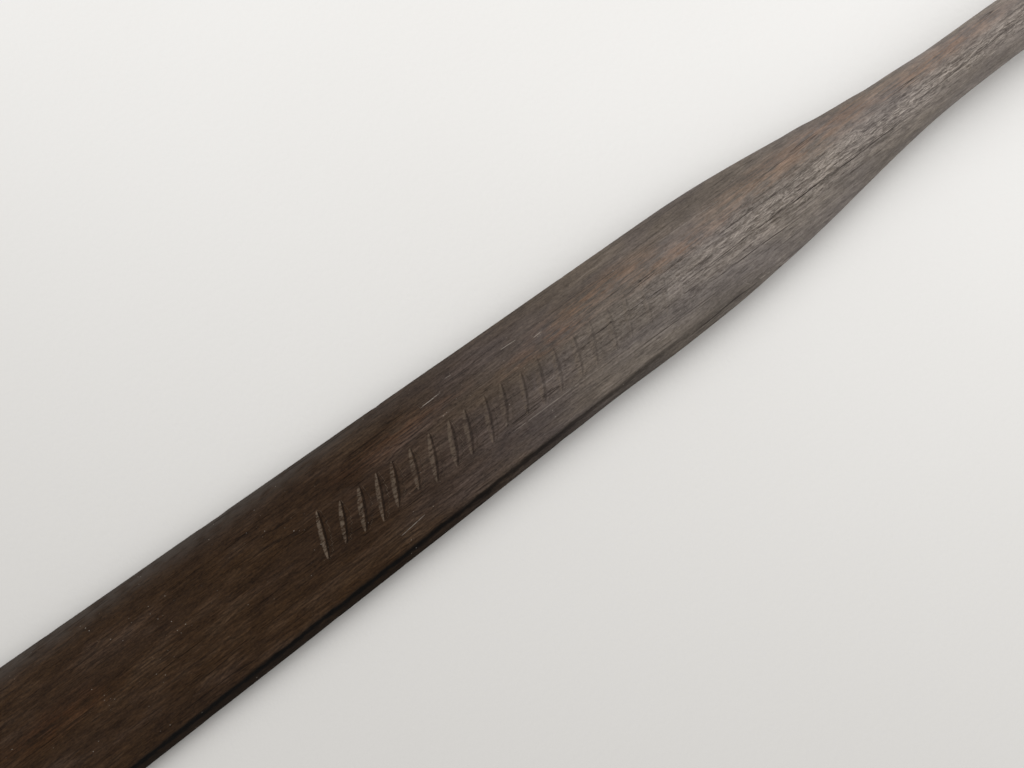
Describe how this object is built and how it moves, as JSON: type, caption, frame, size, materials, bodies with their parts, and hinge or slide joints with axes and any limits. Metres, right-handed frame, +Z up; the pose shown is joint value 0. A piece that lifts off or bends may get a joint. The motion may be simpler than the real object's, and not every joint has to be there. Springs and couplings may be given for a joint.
{
  "type": "rowing oar",
  "caption": "Long wooden boat oar: one carved timber from round handle to tapered, bevelled blade, with a tacked leather sleeve, a wound leather button and a copper-clad tip.",
  "frame": {"origin": "middle of the bounding box, on the surface that the oar lies on", "axes": "+X along the oar towards the blade's tip, +Z up, square to the blade; the axis dips to the tip by 0.93 degrees because the oar rests on its button and its tip"},
  "size_m": [3.0511, 0.147, 0.0889],
  "materials": {
    "timber": "dark stained, weathered, raised grain",
    "sleeve_leather": "oiled, worn",
    "button_leather": "oiled, worn, cut edges showing",
    "sheet_copper": "aged sheet copper",
    "tack_copper": "aged copper",
    "nail_copper": "aged copper, beaten down"
  },
  "bodies": {
    "root": {"button_strip": "button_leather", "button_tack_inboard_1": "tack_copper", "button_tack_inboard_2": "tack_copper", "button_tack_inboard_3": "tack_copper", "button_tack_inboard_4": "tack_copper", "button_tack_outboard_1": "tack_copper", "button_tack_outboard_2": "tack_copper", "button_tack_outboard_3": "tack_copper", "button_tack_outboard_4": "tack_copper", "inboard_tack_1": "tack_copper", "inboard_tack_2": "tack_copper", "inboard_tack_3": "tack_copper", "inboard_tack_4": "tack_copper", "inboard_tack_5": "tack_copper", "leather_sleeve": "sleeve_leather", "oar_timber": "timber", "outboard_tack_1": "tack_copper", "outboard_tack_2": "tack_copper", "outboard_tack_3": "tack_copper", "outboard_tack_4": "tack_copper", "outboard_tack_5": "tack_copper", "seam_tack_left_1": "tack_copper", "seam_tack_left_2": "tack_copper", "seam_tack_left_3": "tack_copper", "seam_tack_left_4": "tack_copper", "seam_tack_left_5": "tack_copper", "seam_tack_left_6": "tack_copper", "seam_tack_right_1": "tack_copper", "seam_tack_right_2": "tack_copper", "seam_tack_right_3": "tack_copper", "seam_tack_right_4": "tack_copper", "seam_tack_right_5": "tack_copper", "seam_tack_right_6": "tack_copper", "tip_band": "sheet_copper", "tip_nail_top_1": "nail_copper", "tip_nail_top_2": "nail_copper", "tip_nail_top_3": "nail_copper", "tip_nail_top_4": "nail_copper", "tip_nail_top_5": "nail_copper", "tip_nail_top_6": "nail_copper", "tip_nail_under_1": "nail_copper", "tip_nail_under_2": "nail_copper", "tip_nail_under_3": "nail_copper", "tip_nail_under_4": "nail_copper", "tip_nail_under_5": "nail_copper"}
  },
  "joints": []
}
